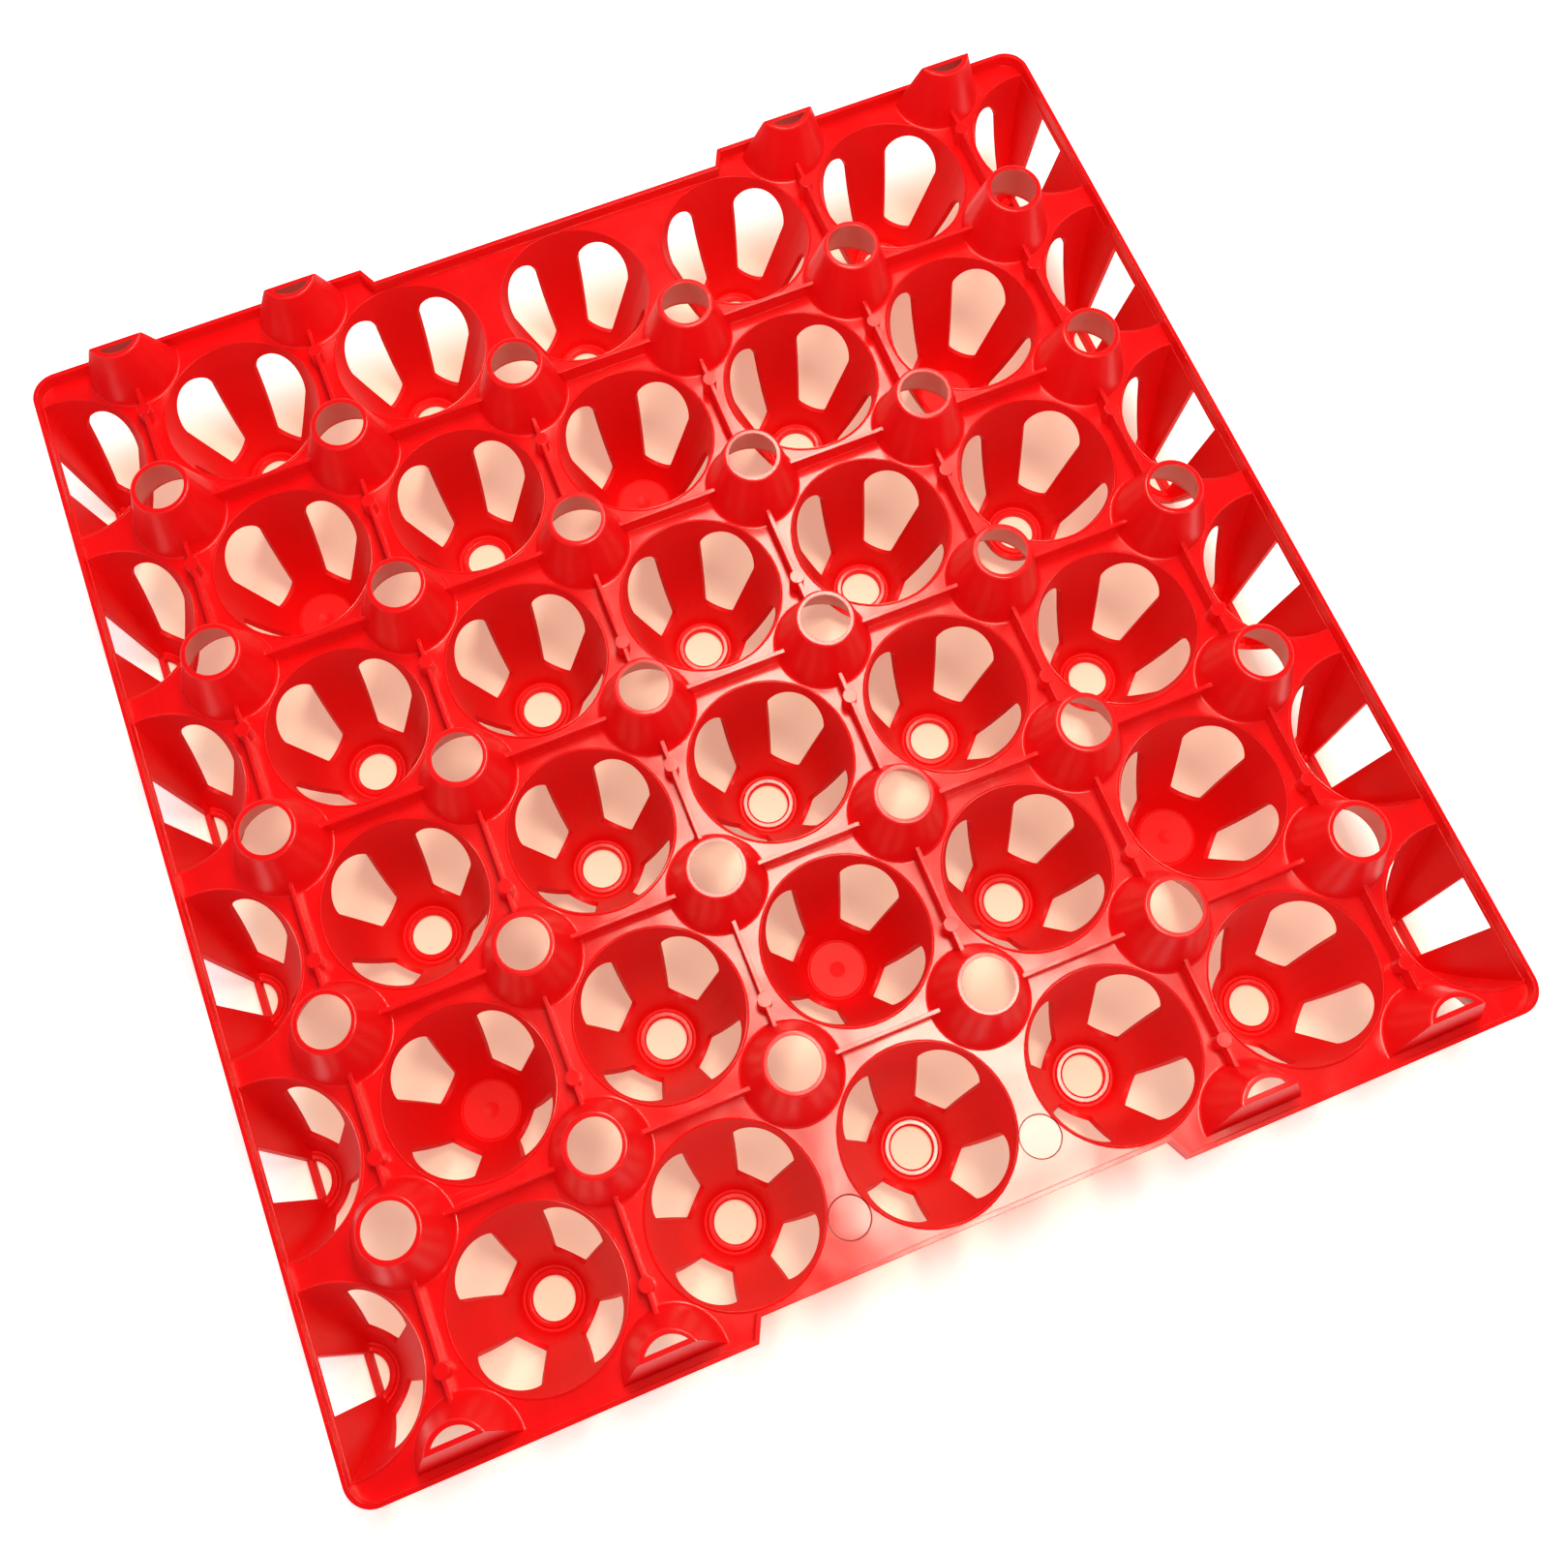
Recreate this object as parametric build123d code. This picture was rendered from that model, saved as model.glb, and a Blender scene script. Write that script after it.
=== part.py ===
from build123d import *
from math import cos, radians, sin
import os

# One moulded plastic tray for thirty eggs, in millimetres.
# Origin: middle of the footprint, on the plane that the cup floors stand on. +Z is up.
# Egg cups hang below a flat deck and hollow posts stand above it, both on one square grid,
# so that a second tray turned by a quarter turn stands on the posts of the first.

# Grid: cup centres stand on whole pitches along X and on half pitches along Y
pitch = 50.0
columns = 5
rows = 6

# Heights and wall
cup_depth = 45.6
post_height = 19.4
wall = 1.2

# Cup: a slightly bellied cone with a raised bead round its mouth
mouth_radius = 21.4
belly_radius = 16.6
belly_drop = 19.0
floor_radius = 8.0
foot_round = 1.0
side_lean = 17.0
bead_width = 0.65
bead_height = 0.4

# Cup floor: a hole in a low collar, or a closed disc with a gate mark
floor_hole_radius = 5.5
collar_width = 1.9
collar_height = 0.9
gate_disc_height = 0.4
gate_mark_radius = 2.2
gate_mark_depth = 0.6
gate_columns = (-2, 0, 2)
gate_rows = (-2, 1)

# Windows in the cup wall, on both diagonals
window_half_width = 8.4
window_top_drop = 3.0
window_foot_half_width = 4.2
window_foot_drop = 36.0
window_point = 1.8
window_foot_round = 1.4

# Posts: hollow tapered towers with an open top
post_foot_radius = 12.7
post_top_radius = 7.8
post_hole_radius = 6.4
post_foot_round = 0.5
post_top_round = 0.5

# Half posts on the front and back edges, flat on the outside
half_post_top_set_in = 2.6
half_post_draft = 9.3

# Edge: a raised lip all round, with a finger recess in the middle of the front and back
edge_margin = 3.5
lip_height = 4.2
lip_wall = 1.2
corner_radius = 7.0
recess_half_length = 52.8
recess_depth = 5.2
recess_flare = 2.6
recess_wall_lean = 0.6

# Side wall that closes each half cup, and the outlet in it
side_draft = 5.8
side_ledge = 0.3
outlet_top_half_width = 6.9
outlet_foot_half_width = 5.2
outlet_foot_height = 3.4

# Ribs between posts, and the round pads on them
rib_height = 6.0
rib_wall = 1.0
pad_radius = 1.9
pad_height = 6.3
pad_offset = 7.0

# Round insert marks in the deck behind the front recess
mark_radius = 5.2
mark_depth = 0.25
mark_from_edge = 12.5

# Derived levels and places
deck_top = cup_depth
deck_bottom = deck_top - wall
join = deck_top - wall / 2
post_top = deck_top + post_height
edge_x = (columns + 1) * pitch / 2 + edge_margin
edge_y = rows * pitch / 2 + edge_margin
cup_xs = [(i - (columns - 1) / 2) * pitch for i in range(columns)]
cup_ys = [(j - (rows - 1) / 2) * pitch for j in range(rows)]
half_cup_x = (columns + 1) * pitch / 2
post_xs = [(i - columns / 2) * pitch for i in range(columns + 1)]
post_ys = [(j - (rows - 2) / 2) * pitch for j in range(rows - 1)]
half_post_y = rows * pitch / 2
half_post_xs = [x for x in post_xs if abs(x) - pitch / 4 > recess_half_length]
reach = 4 * pitch


def polygon_edges(points):
    return [Line(a, b) for a, b in zip(points, points[1:])]


def turned(edges):
    """Revolve a closed outline, drawn in the XZ plane, about Z."""
    return revolve(make_face(edges), axis=Axis.Z)


def cup_radius_arc(extra, drop_top, drop_foot):
    """Bellied wall line of a cup, moved outwards by extra."""
    top = (mouth_radius + extra, 0, deck_top - drop_top)
    middle = (belly_radius + extra, 0, deck_top - belly_drop)
    foot = (floor_radius + extra, 0, deck_top - drop_foot)
    return ThreePointArc(top, middle, foot)


def cup_outside():
    """Solid outer form of a cup, from its foot up into the deck."""
    side = wall / cos(radians(side_lean))
    line = cup_radius_arc(side, wall / 2, cup_depth - foot_round)
    foot_radius = floor_radius + side
    shoulder = foot_radius - foot_round
    rounding = ThreePointArc(
        (foot_radius, 0, foot_round),
        (shoulder + foot_round * sin(radians(45)), 0, foot_round * (1 - cos(radians(45)))),
        (shoulder, 0, 0),
    )
    closing = polygon_edges([(shoulder, 0, 0), (0, 0, 0), (0, 0, join), (mouth_radius + side, 0, join)])
    return turned([line, rounding] + closing)


def bead():
    """Raised bead round a cup mouth."""
    inner = mouth_radius - wall / 2
    outer = mouth_radius + bead_width
    crest = deck_top + bead_height
    side = (outer - bead_width * 0.3, 0, crest - bead_height * 0.3)
    crown = ThreePointArc((outer, 0, deck_top), side, (mouth_radius, 0, crest))
    inside = [(mouth_radius, 0, crest), (inner, 0, crest), (inner, 0, join)]
    outside = [(outer, 0, join), (outer, 0, deck_top)]
    return turned([crown] + polygon_edges(inside + outside))


def window_cross():
    """Two prisms that cut the four windows of a cup, along its diagonals."""
    centre_height = deck_top - window_top_drop - window_half_width
    foot_height = deck_top - window_foot_drop
    length = mouth_radius + 2 * wall
    left = (-window_half_width, centre_height)
    right = (window_half_width, centre_height)
    crown = (0, centre_height + window_half_width)
    foot_left = (-window_foot_half_width, foot_height)
    foot_right = (window_foot_half_width, foot_height)
    outline = [
        ThreePointArc(left, crown, right),
        Line(right, foot_right),
        ThreePointArc(foot_right, (0, foot_height - window_point), foot_left),
        Line(foot_left, left),
    ]
    sheet = make_face(outline)
    feet = [v for v in sheet.vertices() if abs(v.Y - foot_height) < window_foot_round / 10]
    prism = extrude(Plane.XZ * fillet(feet, radius=window_foot_round), amount=length, both=True)
    return Rot(0, 0, 45) * prism + Rot(0, 0, -45) * prism


def cup_inside(closed):
    """Space inside a cup, with its floor hole or its gate mark, and its windows."""
    above = deck_top + bead_height + 1
    line = cup_radius_arc(0, 0, cup_depth - wall)
    collar_radius = floor_hole_radius + collar_width
    top = [(0, 0, above), (mouth_radius + bead_height, 0, above), (mouth_radius, 0, deck_top)]
    if closed:
        disc = wall + gate_disc_height
        floor = [
            (floor_radius, 0, wall),
            (collar_radius + gate_disc_height, 0, wall),
            (collar_radius, 0, disc),
            (gate_mark_radius, 0, disc),
            (0, 0, disc - gate_mark_depth),
            (0, 0, above),
        ]
    else:
        ring = wall + collar_height
        floor = [
            (floor_radius, 0, wall),
            (collar_radius, 0, wall),
            (collar_radius - 0.25 * collar_width, 0, ring),
            (floor_hole_radius + 0.25 * collar_width, 0, ring),
            (floor_hole_radius, 0, ring - 0.3 * collar_height),
            (floor_hole_radius, 0, -1),
            (0, 0, -1),
            (0, 0, above),
        ]
    return turned(polygon_edges(top) + [line] + polygon_edges(floor)) + window_cross()


def side_space(plane_x, height, draft):
    """Everything on the inner side of a plane that leans inwards going down, for the +X side."""
    block = Pos(-reach, 0, 0) * Box(2 * reach, 2 * reach, 2 * reach)
    return Pos(plane_x, 0, height) * Rot(0, draft, 0) * block


def mirrored(shape, plane):
    return mirror(shape, about=plane)


def half_cup_outside():
    """Outer form of the half cup on the +X side, closed by a leaning wall."""
    return (Pos(half_cup_x, 0, 0) * cup_outside()) & side_space(edge_x, deck_top, side_draft)


def half_cup_inside():
    """Space inside the half cup on the +X side, with the outlet in its side wall."""
    inner_x = edge_x - lip_wall - side_ledge
    space = (Pos(half_cup_x, 0, 0) * cup_inside(False)) & side_space(inner_x, deck_top, side_draft)
    outlet = Polyline(
        (-outlet_foot_half_width, outlet_foot_height),
        (outlet_foot_half_width, outlet_foot_height),
        (outlet_top_half_width, deck_bottom),
        (-outlet_top_half_width, deck_bottom),
        close=True,
    )
    prism = extrude(Plane.YZ * make_face(outlet), amount=pitch / 3)
    return [space, Pos(half_cup_x - floor_radius / 2, 0, 0) * prism]


def half_bead():
    """Bead of a half cup on the +X side, run into the lip."""
    keep = Pos(edge_x - lip_wall / 2 - reach, 0, 0) * Box(2 * reach, 2 * reach, 2 * reach)
    return (Pos(half_cup_x, 0, 0) * bead()) & keep


def post_outside():
    """Outer form of a post, with a small flare at its foot and a rounded top edge."""
    slope = (post_foot_radius - post_top_radius) / post_height
    flare_top = deck_top + post_foot_round
    outer = [
        (0, 0, join),
        (post_foot_radius + post_foot_round, 0, join),
        (post_foot_radius + post_foot_round, 0, deck_top),
    ]
    flare = ThreePointArc(
        outer[-1],
        (post_foot_radius + 0.2 * post_foot_round, 0, deck_top + 0.3 * post_foot_round),
        (post_foot_radius - slope * post_foot_round, 0, flare_top),
    )
    shoulder_z = post_top - post_top_round
    shoulder = (post_top_radius + slope * post_top_round, 0, shoulder_z)
    flank = Line((post_foot_radius - slope * post_foot_round, 0, flare_top), shoulder)
    inset = post_top_radius - post_top_round
    crown = ThreePointArc(
        shoulder,
        (inset + post_top_round * 0.75, 0, shoulder_z + post_top_round * 0.75),
        (inset, 0, post_top),
    )
    closing = polygon_edges([(inset, 0, post_top), (0, 0, post_top), (0, 0, join)])
    return turned(polygon_edges(outer) + [flare, flank, crown] + closing)


def post_inside():
    """Space inside a post, open at the top and through the deck."""
    slope = (post_foot_radius - post_top_radius) / post_height
    low = deck_bottom - 1
    high = post_top + 1
    low_radius = post_hole_radius + slope * (post_top - low)
    flank = [(low_radius, 0, low), (post_hole_radius - slope, 0, high)]
    return turned(polygon_edges([(0, 0, low)] + flank + [(0, 0, high), (0, 0, low)]))


def back_space(plane_y, height, draft):
    """Everything on the inner side of a plane that leans inwards going up, for the +Y side."""
    block = Pos(0, -reach, 0) * Box(2 * reach, 2 * reach, 2 * reach)
    return Pos(0, plane_y, height) * Rot(draft, 0, 0) * block


def half_post_outside(x):
    plane_y = half_post_y - half_post_top_set_in
    return (Pos(x, half_post_y, 0) * post_outside()) & back_space(plane_y, post_top, half_post_draft)


def half_post_inside(x):
    plane_y = half_post_y - half_post_top_set_in - wall
    return (Pos(x, half_post_y, 0) * post_inside()) & back_space(plane_y, post_top, half_post_draft)


def edge_outline(inset):
    """Outline of the deck with its two finger recesses, moved inwards by inset."""
    x = edge_x - inset
    y = edge_y - inset
    recess_y = y - recess_depth
    inner = recess_half_length + inset * recess_wall_lean
    outer = inner + recess_flare
    right = [(inner, -recess_y), (outer, -y), (x, -y), (x, y), (outer, y), (inner, recess_y)]
    left = [(-px, -py) for px, py in right]
    sheet = make_face(Polyline(*(right + left), close=True))
    corners = [v for v in sheet.vertices() if abs(abs(v.X) - x) < 0.01 and abs(abs(v.Y) - y) < 0.01]
    return fillet(corners, radius=corner_radius - inset)


def deck():
    """Deck plate with its raised lip."""
    tray = Pos(0, 0, deck_bottom) * extrude(edge_outline(0), amount=wall + lip_height)
    pocket = Pos(0, 0, deck_top) * extrude(edge_outline(lip_wall), amount=lip_height + 1)
    return tray - pocket


def upright(x, y, length_x, length_y, height):
    """Straight rib on the deck."""
    tall = deck_top + height - join
    return Pos(x, y, join + tall / 2) * Box(length_x, length_y, tall)


def ribs():
    """Ribs along X and along Y through the post centres."""
    span_x = post_xs[-1] - post_xs[0]
    along_x = [upright(0, y, span_x, rib_wall, rib_height) for y in post_ys]
    long_y = 2 * half_post_y - 2 * post_hole_radius
    short_y = post_ys[-1] - post_ys[0]
    along_y = [
        upright(x, 0, rib_wall, long_y if x in half_post_xs else short_y, rib_height) for x in post_xs
    ]
    return along_x + along_y


def pads():
    """Round pads on the ribs along Y, one to each cup row, set away from the middle of the tray."""
    found = []
    for x in post_xs:
        for y in cup_ys:
            if abs(y) > post_ys[-1] and x not in half_post_xs:
                continue
            inner = abs(x) < pitch and abs(y) < pitch
            away = (1 if y > 0 else -1) * (-1 if inner else 1)
            pad = Cylinder(pad_radius, pad_height + wall / 2, align=(Align.CENTER, Align.CENTER, Align.MIN))
            found.append(Pos(x, y + away * pad_offset, join) * pad)
    return found


def insert_marks():
    """Shallow round marks in the deck behind the front recess."""
    y = -(edge_y - recess_depth - mark_from_edge)
    disc = Cylinder(mark_radius, mark_depth + 1, align=(Align.CENTER, Align.CENTER, Align.MIN))
    return [Pos(side * pitch / 2, y, deck_top - mark_depth) * disc for side in (-1, 1)]


def egg_tray():
    """The whole moulding as one solid."""
    added = ribs() + pads()
    removed = insert_marks()
    outside = cup_outside()
    ring = bead()
    open_cup = cup_inside(False)
    gate_cup = cup_inside(True)
    for i, x in enumerate(cup_xs):
        for j, y in enumerate(cup_ys):
            column = i - (columns - 1) // 2
            row = j - rows // 2
            is_gate = column in gate_columns and row in gate_rows
            added += [Pos(x, y, 0) * outside, Pos(x, y, 0) * ring]
            removed.append(Pos(x, y, 0) * (gate_cup if is_gate else open_cup))
    side_added = [half_cup_outside(), half_bead()]
    side_removed = half_cup_inside()
    for y in cup_ys:
        for shape in side_added:
            added += [Pos(0, y, 0) * shape, Pos(0, y, 0) * mirrored(shape, Plane.YZ)]
        for shape in side_removed:
            removed += [Pos(0, y, 0) * shape, Pos(0, y, 0) * mirrored(shape, Plane.YZ)]
    tower = post_outside()
    bore = post_inside()
    for x in post_xs:
        for y in post_ys:
            added.append(Pos(x, y, 0) * tower)
            removed.append(Pos(x, y, 0) * bore)
    for x in half_post_xs:
        for shape, group in ((half_post_outside(x), added), (half_post_inside(x), removed)):
            group += [shape, mirrored(shape, Plane.XZ)]
    return deck() + added - removed


os.makedirs("parts", exist_ok=True)
tray = egg_tray()
print("solids", len(tray.solids()), "faces", len(tray.faces()), "volume", round(tray.volume))
export_step(tray, "parts/egg_tray.step")
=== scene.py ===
import logging
import math
from dataclasses import dataclass, field
from enum import Enum
from typing import Any, Union

import bmesh
import bpy
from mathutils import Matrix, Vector


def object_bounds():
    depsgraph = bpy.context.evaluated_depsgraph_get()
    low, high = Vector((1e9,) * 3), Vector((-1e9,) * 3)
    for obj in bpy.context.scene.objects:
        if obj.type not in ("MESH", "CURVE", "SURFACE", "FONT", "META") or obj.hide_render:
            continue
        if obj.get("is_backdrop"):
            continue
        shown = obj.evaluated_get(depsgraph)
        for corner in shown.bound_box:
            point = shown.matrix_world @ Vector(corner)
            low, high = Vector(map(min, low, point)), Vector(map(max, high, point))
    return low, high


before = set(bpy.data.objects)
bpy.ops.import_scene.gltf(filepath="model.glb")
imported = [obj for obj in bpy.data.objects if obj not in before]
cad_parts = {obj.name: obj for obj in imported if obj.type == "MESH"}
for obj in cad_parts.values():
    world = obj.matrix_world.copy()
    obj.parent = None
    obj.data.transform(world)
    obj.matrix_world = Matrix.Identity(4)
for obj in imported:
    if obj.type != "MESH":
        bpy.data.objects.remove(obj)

Colour = tuple[float, float, float]
Point = tuple[float, float, float]
Span = tuple[float, float]
Number = Union["Value", float]

LOG = logging.getLogger("egg_tray")


class Ray(Enum):
    """Outputs of the Light Path node that show the pale surroundings."""

    CAMERA = "Is Camera Ray"
    GLOSSY = "Is Glossy Ray"
    TRANSMISSION = "Is Transmission Ray"


class Value:
    """A float socket on which arithmetic adds Math nodes."""

    def __init__(self, graph: "Graph", socket: bpy.types.NodeSocket) -> None:
        """Keep the graph and the output socket that carries the value."""
        self.graph = graph
        self.socket = socket

    def __add__(self, other: Number) -> "Value":
        """Sum."""
        return self.graph.math("ADD", self, other)

    def __radd__(self, other: Number) -> "Value":
        """Sum, reflected."""
        return self.graph.math("ADD", other, self)

    def __sub__(self, other: Number) -> "Value":
        """Difference."""
        return self.graph.math("SUBTRACT", self, other)

    def __rsub__(self, other: Number) -> "Value":
        """Difference, reflected."""
        return self.graph.math("SUBTRACT", other, self)

    def __mul__(self, other: Number) -> "Value":
        """Product."""
        return self.graph.math("MULTIPLY", self, other)

    def __rmul__(self, other: Number) -> "Value":
        """Product, reflected."""
        return self.graph.math("MULTIPLY", other, self)

    def __pow__(self, other: Number) -> "Value":
        """Power."""
        return self.graph.math("POWER", self, other)

    def __abs__(self) -> "Value":
        """Size without sign."""
        return self.graph.math("ABSOLUTE", self)

    def limited(self, low: float, high: float) -> "Value":
        """The value held between low and high."""
        return self.graph.math("MINIMUM", self.graph.math("MAXIMUM", self, low), high)

    def step(self, start: float, end: float) -> "Value":
        """A smooth change from 0 at start to 1 at end.

        Args:
            start: Where the result is 0.
            end: Where the result is 1.

        Returns:
            The value of the change, held between 0 and 1.
        """
        node = self.graph.node(
            "ShaderNodeMapRange",
            {"interpolation_type": "SMOOTHSTEP"},
            {"Value": self, "From Min": start, "From Max": end, "To Min": 0.0, "To Max": 1.0},
        )
        return self.graph.value(node.outputs["Result"])

    def band(self, centre: float, half_width: float) -> "Value":
        """1 at centre, falling smoothly to 0 at half_width to either side."""
        return abs(self - centre).step(half_width, 0.0)


class Graph:
    """A node tree, and the few ways in which nodes are added to it."""

    def __init__(self, tree: bpy.types.NodeTree) -> None:
        """Empty the tree and keep it.

        Args:
            tree: The node tree of a material or of the world.
        """
        tree.nodes.clear()
        self.tree = tree

    def node(
        self,
        kind: str,
        settings: Union[dict[str, Any], None] = None,
        inputs: Union[dict[Union[str, int], Any], None] = None,
    ) -> bpy.types.Node:
        """Add one node.

        Args:
            kind: The node's type name.
            settings: Its own settings, which are made first.
            inputs: Values, colours, sockets or Values for its inputs, by name or number.

        Returns:
            The new node.
        """
        made = self.tree.nodes.new(kind)
        for name, setting in (settings or {}).items():
            setattr(made, name, setting)
        for name, given in (inputs or {}).items():
            if isinstance(given, Value):
                given = given.socket
            if isinstance(given, bpy.types.NodeSocket):
                self.tree.links.new(given, made.inputs[name])
            else:
                made.inputs[name].default_value = given
        return made

    def value(self, socket: bpy.types.NodeSocket) -> Value:
        """Wrap a float output socket."""
        return Value(self, socket)

    def math(self, operation: str, *operands: Number) -> Value:
        """Add a Math node.

        Args:
            operation: The node's operation.
            operands: Values or floats, in the order of its inputs.

        Returns:
            The result.
        """
        made = self.node("ShaderNodeMath", {"operation": operation}, dict(enumerate(operands)))
        return self.value(made.outputs[0])

    def colour(self, colour: Colour) -> bpy.types.NodeSocket:
        """A constant colour as a socket."""
        made = self.node("ShaderNodeRGB")
        made.outputs[0].default_value = (*colour, 1.0)
        return made.outputs[0]

    def mix(self, factor: Number, first: Any, second: Any) -> bpy.types.NodeSocket:
        """Mix two colours.

        Args:
            factor: 0 for the first and 1 for the second.
            first: A colour or a colour socket.
            second: A colour or a colour socket.

        Returns:
            The mixed colour.
        """
        settings = {"data_type": "RGBA", "clamp_factor": True}
        ends = [c if isinstance(c, bpy.types.NodeSocket) else self.colour(c) for c in (first, second)]
        made = self.node("ShaderNodeMix", settings, {0: factor, 6: ends[0], 7: ends[1]})
        return made.outputs[2]

    def vector(self, operation: str, *operands: Any) -> bpy.types.Node:
        """Add a Vector Math node and return it, as its result may be a vector or a value."""
        return self.node("ShaderNodeVectorMath", {"operation": operation}, dict(enumerate(operands)))

    def split(self, vector: bpy.types.NodeSocket) -> tuple[Value, Value, Value]:
        """Separate a vector into its three values."""
        made = self.node("ShaderNodeSeparateXYZ", {}, {0: vector})
        return self.value(made.outputs[0]), self.value(made.outputs[1]), self.value(made.outputs[2])

    def noise(
        self,
        place: bpy.types.NodeSocket,
        size: float,
        detail: float = 2.0,
        stretch: Point = (1.0, 1.0, 1.0),
    ) -> Value:
        """Noise of about 0 to 1, whose blotches are of a stated size.

        Args:
            place: The coordinates, in metres.
            size: The size of a blotch, in metres.
            detail: How many finer layers are added.
            stretch: How much longer than size a blotch is along each axis.

        Returns:
            The noise.
        """
        scale = tuple(1.0 / (size * s) for s in stretch)
        scaled = self.vector("MULTIPLY", place, scale).outputs[0]
        made = self.node("ShaderNodeTexNoise", {}, {"Vector": scaled, "Scale": 1.0, "Detail": detail})
        return self.value(made.outputs["Fac"])

    def shown(self) -> Value:
        """1 for rays that show the surroundings to the camera, straight or by way of a shiny surface."""
        path = self.node("ShaderNodeLightPath")
        seen = [self.value(path.outputs[ray.value]) for ray in Ray]
        return (seen[0] + seen[1] + seen[2]).limited(0.0, 1.0)


@dataclass(frozen=True)
class TrayGrid:
    """Places and levels on the tray that its finish follows, in metres."""

    deck_top: float = 0.0456
    disc_top: float = 0.0016
    collar_top: float = 0.0021
    collar_clearance: float = 0.0001
    insert_x: float = 0.025
    insert_y: float = -0.1358
    insert_radius: float = 0.0052
    insert_blend: float = 0.0001


@dataclass(frozen=True)
class Layer:
    """One layer of the surface's relief: the size of its swells, their height, and their detail."""

    size: float
    height: float
    detail: float = 2.0

    def rise(self, graph: Graph, place: bpy.types.NodeSocket) -> Value:
        """The layer's height in metres."""
        return graph.noise(place, self.size, self.detail) * self.height


@dataclass(frozen=True)
class Blotches:
    """Noise cut to blotches: their size, the span of noise over which they set in, and their detail."""

    size: float
    span: Span
    detail: float = 2.0
    stretch: Point = (1.0, 1.0, 1.0)

    def spread(self, graph: Graph, place: bpy.types.NodeSocket) -> Value:
        """1 inside the blotches and 0 between them."""
        return graph.noise(place, self.size, self.detail, self.stretch).step(*self.span)


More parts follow.
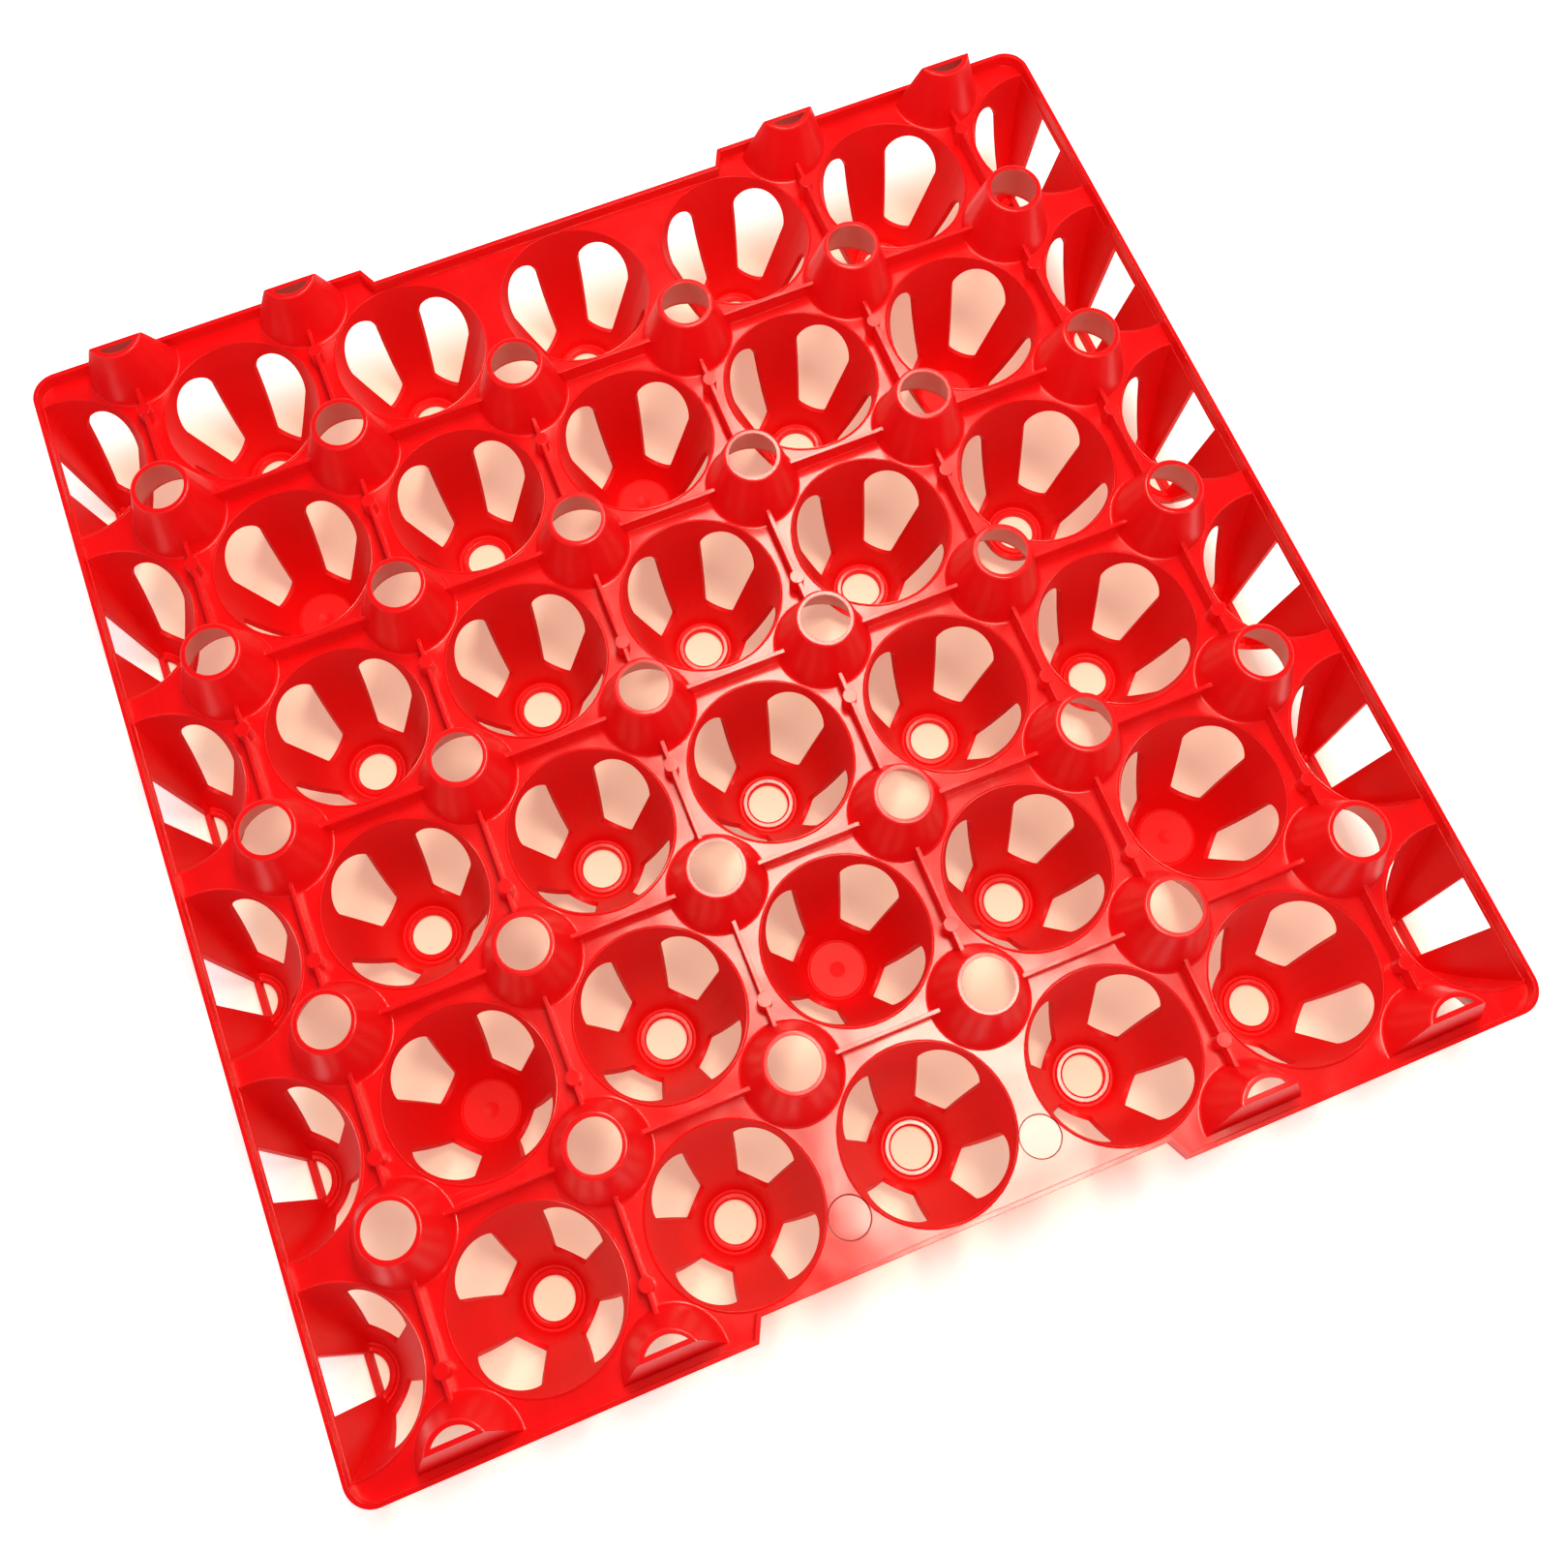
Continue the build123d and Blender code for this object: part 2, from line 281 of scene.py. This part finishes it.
@dataclass(frozen=True)
class RedPlastic:
    """Glossy red polypropylene as it comes from the mould, with light rubbing on its edges, a painted
    highlight along its sharp edges and painted shade on the line round its insert marks.
    """

    red: Colour = (0.97, 0.0045, 0.0065)
    deep: Colour = (0.90, 0.0035, 0.0055)
    # Painted highlight colour along sharp edges.
    edge_highlight: Colour = (1.0, 0.050, 0.045)
    scuffed: Colour = (0.97, 0.10, 0.09)
    # Painted shade colour for the line round the insert marks.
    shaded_groove: Colour = (0.30, 0.002, 0.004)
    deck_roughness: float = 0.17
    post_roughness: float = 0.42
    cup_roughness: float = 0.60
    insert_roughness: float = 0.08
    rubbed_roughness: float = 0.22
    cloud_size: float = 0.011
    cloud_roughness: float = 0.14
    roughness_limits: Span = (0.05, 0.7)
    refraction: float = 1.49
    skin_gloss: float = 0.32
    coat_roughness: float = 0.14
    coat_on_walls: float = 0.04
    coat_on_flats: float = 0.56
    thin_coat: float = 0.62
    coat_rubbed_off: float = 0.3
    coat_off_groove: float = 0.6
    hair_strength: float = 0.5
    wear_strength: float = 0.6
    # How far sharp edges are mixed towards the painted highlight colour.
    edge_highlight_tint: float = 0.30
    scuff_tint: float = 0.35
    # How far the line round the insert marks is mixed towards the painted shade colour.
    groove_shade_tint: float = 0.7
    bevel_radius: float = 0.0003
    bevel_samples: int = 6
    edge_turn: Span = (0.02, 0.25)
    facing_up: Span = (0.90, 0.985)
    deck_margin: Span = (0.0020, 0.0010)
    post_rise: float = 0.0010
    insert_margin: Span = (0.0008, 0.0006)
    groove_half_width: float = 0.00035
    insert_smoothness: float = 0.8
    waves: Layer = Layer(0.013, 0.00032, 1.0)
    ripples: Layer = Layer(0.0045, 0.000020)
    skin: Layer = Layer(0.0009, 0.0000022)
    mottling: Blotches = Blotches(0.022, (0.35, 0.65), 3.0)
    thick_coat: Blotches = Blotches(0.014, (0.30, 0.62))
    scratched: Blotches = Blotches(0.030, (0.50, 0.68))
    hairs_along_x: Blotches = Blotches(0.0004, (0.66, 0.74), 1.0, (60.0, 1.0, 60.0))
    hairs_along_y: Blotches = Blotches(0.0005, (0.68, 0.76), 1.0, (1.0, 40.0, 40.0))
    worn_edges: Blotches = Blotches(0.004, (0.52, 0.66), 3.0)
    grid: TrayGrid = field(default_factory=TrayGrid)

    def build(self, name: str) -> bpy.types.Material:
        """Make the material.

        Args:
            name: The material's name.

        Returns:
            The finished material.
        """
        material = bpy.data.materials.new(name)
        material.use_nodes = True
        graph = Graph(material.node_tree)
        place = graph.node("ShaderNodeTexCoord").outputs["Object"]
        geometry = graph.node("ShaderNodeNewGeometry")
        bevel = graph.node(
            "ShaderNodeBevel",
            {"samples": self.bevel_samples},
            {"Radius": self.bevel_radius},
        )
        facing = self.flats(graph, place, geometry)
        edges = self.edges(graph, bevel, geometry)
        insert, shaded_groove = self.insert_marks(graph, place)
        scuffs = self.scuffs(graph, place, facing, edges)
        relief = self.relief(graph, place, facing, insert)
        bump = graph.node(
            "ShaderNodeBump",
            {},
            {"Strength": 1.0, "Distance": 1.0, "Height": relief, "Normal": bevel.outputs["Normal"]},
        )
        shader = graph.node(
            "ShaderNodeBsdfPrincipled",
            {},
            {
                "Base Color": self.colours(graph, place, edges, scuffs, shaded_groove),
                "Roughness": self.roughness(graph, place, facing, insert, scuffs),
                "IOR": self.refraction,
                "Specular IOR Level": self.skin_gloss,
                "Coat Weight": self.polish(graph, place, facing, scuffs, shaded_groove),
                "Coat Roughness": self.coat_roughness,
                "Normal": bump.outputs["Normal"],
            },
        )
        graph.node("ShaderNodeOutputMaterial", {}, {"Surface": shader.outputs["BSDF"]})
        return material

    def flats(self, graph: Graph, place: bpy.types.NodeSocket, geometry: bpy.types.Node) -> Value:
        """Find the polished flats: the deck and what stands on it, and the collars of the cup floors.

        Args:
            graph: The material's graph.
            place: The coordinates.
            geometry: The node that gives the surface's normal.

        Returns:
            1 on the flats and 0 on the walls, windows and closed discs.
        """
        facing = graph.split(geometry.outputs["Normal"])[2].step(*self.facing_up)
        z = graph.split(place)[2]
        gap = self.grid.collar_top - self.grid.disc_top - self.grid.collar_clearance
        collar = z.band(self.grid.collar_top, gap)
        deck = z.step(*(self.grid.deck_top - margin for margin in self.deck_margin))
        return facing * (collar + deck).limited(0.0, 1.0)

    def edges(self, graph: Graph, bevel: bpy.types.Node, geometry: bpy.types.Node) -> Value:
        """1 along sharp edges, which catch the light."""
        turn = graph.vector("DOT_PRODUCT", bevel.outputs["Normal"], geometry.outputs["Normal"])
        return (1.0 - graph.value(turn.outputs["Value"])).step(*self.edge_turn)

    def insert_marks(self, graph: Graph, place: bpy.types.NodeSocket) -> tuple[Value, Value]:
        """The two round insert marks and the fine line round them.

        Args:
            graph: The material's graph.
            place: The coordinates.

        Returns:
            1 inside the marks, and 1 on the line.
        """
        x, y, z = graph.split(place)
        across = abs(x) - self.grid.insert_x
        along = y - self.grid.insert_y
        away = (across * across + along * along) ** 0.5
        radius = self.grid.insert_radius
        above = z.step(*(self.grid.deck_top - margin for margin in self.insert_margin))
        inside = away.step(radius, radius - self.grid.insert_blend)
        # The line round the marks is given painted shade in the colour and a thinner coat.
        return inside * above, away.band(radius, self.groove_half_width) * above

    def scuffs(self, graph: Graph, place: bpy.types.NodeSocket, facing: Value, edges: Value) -> Value:
        """Light rubbing: fine scratches on the flats, and broken wear along the edges.

        Args:
            graph: The material's graph.
            place: The coordinates.
            facing: 1 on the polished flats.
            edges: 1 along sharp edges.

        Returns:
            The amount of rubbing.
        """
        patches = self.scratched.spread(graph, place)
        hairs_x = self.hairs_along_x.spread(graph, place)
        hairs_y = self.hairs_along_y.spread(graph, place)
        worn = self.worn_edges.spread(graph, place) * edges
        hairs = (hairs_x + hairs_y) * patches * facing
        return (hairs * self.hair_strength + worn * self.wear_strength).limited(0.0, 1.0)

    def relief(self, graph: Graph, place: bpy.types.NodeSocket, facing: Value, insert: Value) -> Value:
        """Height of the moulded surface in metres: long waves from shrinking, and a fine skin.

        Args:
            graph: The material's graph.
            place: The coordinates.
            facing: 1 on the polished flats.
            insert: 1 inside the insert marks.

        Returns:
            The height.
        """
        waves = self.waves.rise(graph, place) * facing
        ripples = self.ripples.rise(graph, place)
        skin = self.skin.rise(graph, place)
        return (waves + ripples + skin) * (1.0 - insert * self.insert_smoothness)

    def roughness(
        self, graph: Graph, place: bpy.types.NodeSocket, facing: Value, insert: Value, scuffs: Value
    ) -> Value:
        """Roughness of the deck, the cups, the posts, the insert marks and the rubbed places.

        Args:
            graph: The material's graph.
            place: The coordinates.
            facing: 1 on the polished flats.
            insert: 1 inside the insert marks.
            scuffs: The amount of rubbing.

        Returns:
            The roughness.
        """
        cloud = (graph.noise(place, self.cloud_size, 3.0) - 0.5) * self.cloud_roughness
        raised = graph.split(place)[2].step(self.grid.deck_top, self.grid.deck_top + self.post_rise)
        wall = self.cup_roughness + (self.post_roughness - self.cup_roughness) * raised + cloud
        flat = self.deck_roughness + cloud
        plain = wall + (flat - wall) * facing
        rubbed = plain + scuffs * self.rubbed_roughness
        return (rubbed + (self.insert_roughness - rubbed) * insert).limited(*self.roughness_limits)

    def polish(
        self, graph: Graph, place: bpy.types.NodeSocket, facing: Value, scuffs: Value, shaded_groove: Value
    ) -> Value:
        """Weight of the clear skin: patchy on the flats, slight on the walls, less in the groove.

        Args:
            graph: The material's graph.
            place: The coordinates.
            facing: 1 on the polished flats.
            scuffs: The amount of rubbing.
            shaded_groove: 1 on the line round the insert marks, which carries painted shade in the
                colour.

        Returns:
            The weight.
        """
        cloud = self.thick_coat.spread(graph, place)
        flats = facing * (self.thin_coat + cloud * (1.0 - self.thin_coat))
        whole = self.coat_on_walls + flats * self.coat_on_flats
        return (whole - scuffs * self.coat_rubbed_off - shaded_groove * self.coat_off_groove).limited(0.0, 1.0)

    def colours(
        self, graph: Graph, place: bpy.types.NodeSocket, edges: Value, scuffs: Value, shaded_groove: Value
    ) -> bpy.types.NodeSocket:
        """Red with faint mottling, a painted highlight on sharp edges, lighter rubbed places, and
        painted shade on the line round the insert marks.

        Args:
            graph: The material's graph.
            place: The coordinates.
            edges: 1 along sharp edges.
            scuffs: The amount of rubbing.
            shaded_groove: 1 on the line round the insert marks, which carries painted shade in the
                colour.

        Returns:
            The colour.
        """
        body = graph.mix(self.mottling.spread(graph, place), self.deep, self.red)
        # Painted highlight: sharp edges are mixed towards a lighter red, in place of light caught on
        # their rounding.
        lit = graph.mix(edges * self.edge_highlight_tint, body, self.edge_highlight)
        rubbed = graph.mix(scuffs * self.scuff_tint, lit, self.scuffed)
        # Painted shade: the line round the insert marks is mixed towards a dark red.
        return graph.mix(shaded_groove * self.groove_shade_tint, rubbed, self.shaded_groove)


@dataclass(frozen=True)
class WhitePaper:
    """Matt paper of the table: white round the tray, and painted shade where the tray covers it, a
    darker cream colour and a weaker cream glow in place of the shade and warm bounce light under the
    tray.
    """

    white: Colour = (0.95, 0.94, 0.93)
    # Painted shade: the paper's colour under the tray.
    under_tray_shade: Colour = (0.92, 0.80, 0.66)
    white_lift: float = 0.66
    # Painted warm bounce light: the weaker cream glow under the tray.
    under_tray_glow: Colour = (0.43, 0.31, 0.22)
    roughness: float = 0.9
    half_side: float = 0.1535
    blend: float = 0.012

    def build(self, name: str) -> bpy.types.Material:
        """Make the material.

        Args:
            name: The material's name.

        Returns:
            The finished material.
        """
        material = bpy.data.materials.new(name)
        material.use_nodes = True
        graph = Graph(material.node_tree)
        x, y, _ = graph.split(graph.node("ShaderNodeTexCoord").outputs["Object"])
        outwards = graph.math("MAXIMUM", abs(x), abs(y))
        outside = outwards.step(self.half_side - self.blend, self.half_side + self.blend)
        # Painted shade and bounce light: under the tray the paper is mixed to a darker cream and a
        # weaker cream glow.
        paper = graph.mix(outside, self.under_tray_shade, self.white)
        lit = graph.mix(outside, self.under_tray_glow, (self.white_lift,) * 3)
        lift = graph.mix(graph.shown(), (0.0, 0.0, 0.0), lit)
        shader = graph.node(
            "ShaderNodeBsdfPrincipled",
            {},
            {
                "Base Color": paper,
                "Roughness": self.roughness,
                "Specular IOR Level": 0.0,
                "Emission Color": lift,
                "Emission Strength": 1.0,
            },
        )
        graph.node("ShaderNodeOutputMaterial", {}, {"Surface": shader.outputs["BSDF"]})
        return material


@dataclass
class MouldedTray:
    """The tray itself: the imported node, dressed in its finish."""

    node: str = "egg_tray"
    finish: RedPlastic = field(default_factory=RedPlastic)

    def dress(self) -> bpy.types.Object:
        """Put the finish on the node's only slot.

        Returns:
            The dressed object.
        """
        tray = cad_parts[self.node]
        tray.material_slots[0].material = self.finish.build("red_plastic")
        return tray


@dataclass
class StudioFloor:
    """A wide flat table top under the tray, which keeps its shadow."""

    side: float = 24.0
    level: float = 0.0
    finish: WhitePaper = field(default_factory=WhitePaper)

    def build(self) -> bpy.types.Object:
        """Make the floor and mark it as staging.

        Returns:
            The floor.
        """
        sheet = bmesh.new()
        bmesh.ops.create_grid(sheet, x_segments=1, y_segments=1, size=self.side / 2)
        bmesh.ops.translate(sheet, verts=sheet.verts, vec=(0.0, 0.0, self.level))
        mesh = bpy.data.meshes.new("studio_floor")
        sheet.to_mesh(mesh)
        sheet.free()
        mesh.materials.append(self.finish.build("white_paper"))
        floor = bpy.data.objects.new("studio_floor", mesh)
        bpy.context.scene.collection.objects.link(floor)
        floor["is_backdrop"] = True
        return floor


@dataclass(frozen=True)
class Softbox:
    """A flat rectangular lamp of even brightness, turned towards the middle of the tray's foot."""

    name: str
    centre: Point
    width: float
    depth: float
    brightness: float
    colour: Colour = (1.0, 0.87, 0.70)

    def build(self) -> bpy.types.Object:
        """Make the lamp.

        Returns:
            The lamp.
        """
        lamp = bpy.data.lights.new(self.name, "AREA")
        lamp.shape = "RECTANGLE"
        lamp.size = self.width
        lamp.size_y = self.depth
        lamp.color = self.colour
        lamp.energy = self.brightness * math.pi * self.width * self.depth
        made = bpy.data.objects.new(self.name, lamp)
        made.location = self.centre
        made.rotation_euler = (-Vector(self.centre)).to_track_quat("-Z", "Y").to_euler()
        bpy.context.scene.collection.objects.link(made)
        return made


@dataclass(frozen=True)
class StudioRoom:
    """The room round the table: white near the horizon and dark overhead."""

    walls: float = 1.0
    ceiling: float = 0.07
    walls_end: float = 0.35
    ceiling_start: float = 0.78

    def build(self) -> bpy.types.World:
        """Make the world.

        Returns:
            The world.
        """
        world = bpy.data.worlds.new("studio_room")
        world.use_nodes = True
        graph = Graph(world.node_tree)
        direction = graph.node("ShaderNodeTexCoord").outputs["Generated"]
        up = graph.split(direction)[2].step(self.walls_end, self.ceiling_start)
        shade = graph.mix(up, (self.walls,) * 3, (self.ceiling,) * 3)
        background = graph.node("ShaderNodeBackground", {}, {"Color": shade, "Strength": 1.0})
        graph.node("ShaderNodeOutputWorld", {}, {"Surface": background.outputs[0]})
        bpy.context.scene.world = world
        return world


@dataclass(frozen=True)
class TableCamera:
    """A camera held above the near edge of the tray, turned a little anticlockwise."""

    place: Point = (-0.05739, -0.14399, 0.50883)
    turn: Point = (22.104, 0.489, -21.589)
    lens: float = 42.155
    shift: Span = (0.0414, -0.1378)
    sensor: float = 36.0
    clip: Span = (0.01, 50.0)

    def build(self) -> bpy.types.Object:
        """Make the camera and use it for the scene.

        Returns:
            The camera.
        """
        data = bpy.data.cameras.new("table_camera")
        data.lens = self.lens
        data.sensor_width = self.sensor
        data.shift_x, data.shift_y = self.shift
        data.clip_start, data.clip_end = self.clip
        camera = bpy.data.objects.new("table_camera", data)
        camera.location = self.place
        camera.rotation_euler = tuple(math.radians(a) for a in self.turn)
        bpy.context.scene.collection.objects.link(camera)
        bpy.context.scene.camera = camera
        return camera


def corners() -> list[list[float]]:
    """The lowest and highest corner of the shown object as plain lists."""
    return [list(corner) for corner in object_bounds()]


def main() -> None:
    """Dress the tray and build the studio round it."""
    logging.basicConfig(level=logging.INFO, format="%(name)s: %(message)s")
    packed_box = corners()
    tray = MouldedTray().dress()
    LOG.info("tray: %d triangles in %s", len(tray.data.polygons), tray.name)
    paper = WhitePaper(half_side=packed_box[1][0])
    floor = StudioFloor(level=packed_box[0][2], finish=paper).build()
    LOG.info("floor: %s", floor.name)
    lamps = (
        Softbox("near_softbox", centre=(0.175, -0.082, 1.046), width=0.20, depth=0.22, brightness=25.0),
        Softbox("long_softbox", centre=(0.168, 0.300, 1.046), width=0.16, depth=0.54, brightness=19.0),
    )
    for lamp in lamps:
        LOG.info("lamp: %s", lamp.build().name)
    LOG.info("room: %s", StudioRoom().build().name)
    LOG.info("camera: %s", TableCamera().build().name)
    bpy.context.scene.view_settings.view_transform = "Standard"


if __name__ == "__main__":
    main()
